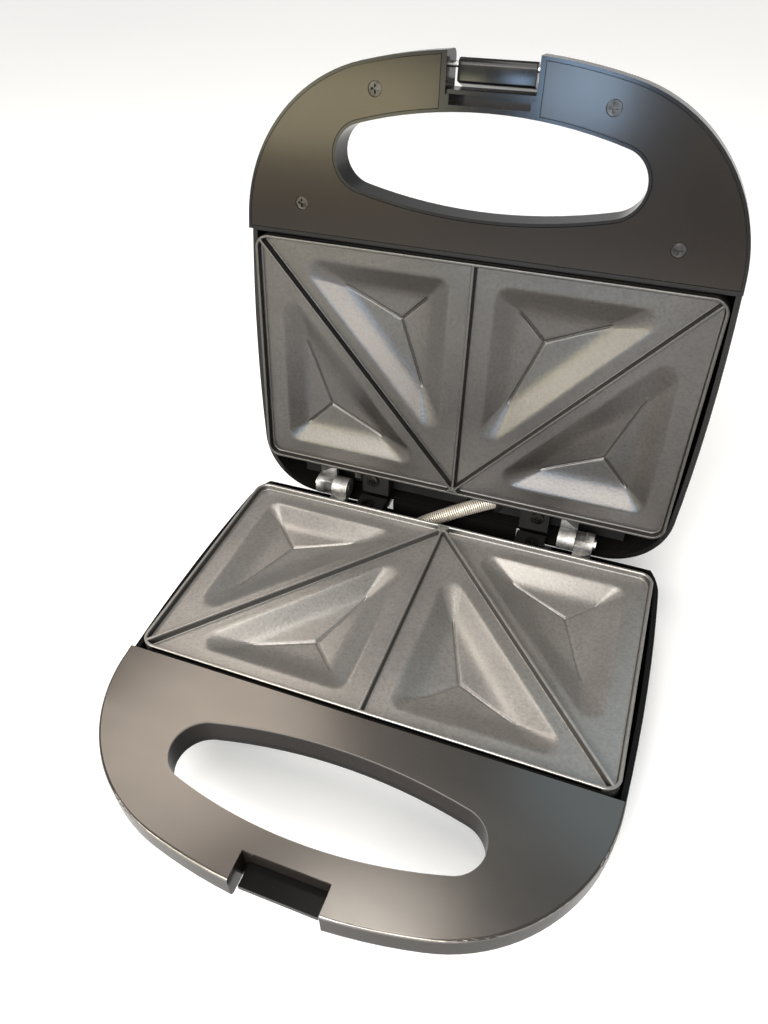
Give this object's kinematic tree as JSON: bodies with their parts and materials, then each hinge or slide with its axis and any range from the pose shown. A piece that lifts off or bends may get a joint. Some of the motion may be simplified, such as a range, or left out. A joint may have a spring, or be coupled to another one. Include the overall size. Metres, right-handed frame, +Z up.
{
  "type": "sandwich maker",
  "caption": "Hinged two-plate sandwich maker with cast triangular pockets, finger-hole handles and a flip-over latch, standing open.",
  "frame": {"origin": "centre of the stored (open) part's box, at the underside of the feet", "axes": "+Z up, +X along the hinge, +Y from the handles to the hinge"},
  "size_m": [0.23, 0.2794, 0.2599],
  "materials": {
    "shell_dark": "dark gloss moulding",
    "handle_metallic": "gunmetal satin-gloss",
    "cast_grey": "fine-grained coated casting",
    "steel": "bright",
    "element_steel": "matt heat-stained",
    "tin": "plain tin",
    "black_plastic": "matt black",
    "rubber": "black",
    "white_plastic": "white",
    "lens": "tinted clear",
    "lamp_glass": "clear"
  },
  "bodies": {
    "base": {"bottom_housing": "shell_dark", "base_handle_deck": "handle_metallic", "deck_screws": "steel", "lower_cooking_plate": "cast_grey", "lower_heating_element": "element_steel", "lower_reflector": "tin", "lower_plate_screws": "steel", "thermal_fuse": "white_plastic", "terminal_block": "white_plastic", "cord_bush": "rubber", "rubber_feet": "rubber", "base_rear_bridge": "black_plastic", "base_bridge_screws": "steel", "hinge_pins": "steel", "spring_conduit": "steel"},
    "lid": {"lid_cover": "shell_dark", "lid_handle_plate": "handle_metallic", "lid_handle_screws": "steel", "upper_cooking_plate": "cast_grey", "upper_heating_element": "element_steel", "upper_reflector": "tin", "upper_plate_screws": "steel", "thermostat": "black_plastic", "thermostat_bracket": "tin", "neon_lamps": "lamp_glass", "lamp_holder": "white_plastic", "indicator_lenses": "lens", "lid_rear_bridge": "black_plastic", "lid_bridge_screws": "steel", "latch_pin": "steel"},
    "latch": {"latch": "shell_dark"}
  },
  "joints": [
    {"name": "lid_hinge", "type": "hinge", "parent": "base", "child": "lid", "pos_m": [0, 0.07707, 0.045], "axis": [1, 0, 0], "range_deg": [0, 97.2], "deforming": ["spring_conduit"]},
    {"name": "latch_pivot", "type": "hinge", "parent": "lid", "child": "latch", "pos_m": [0, 0.11542, 0.25283], "axis": [1, 0, 0], "range_deg": [0, 197]}
  ]
}
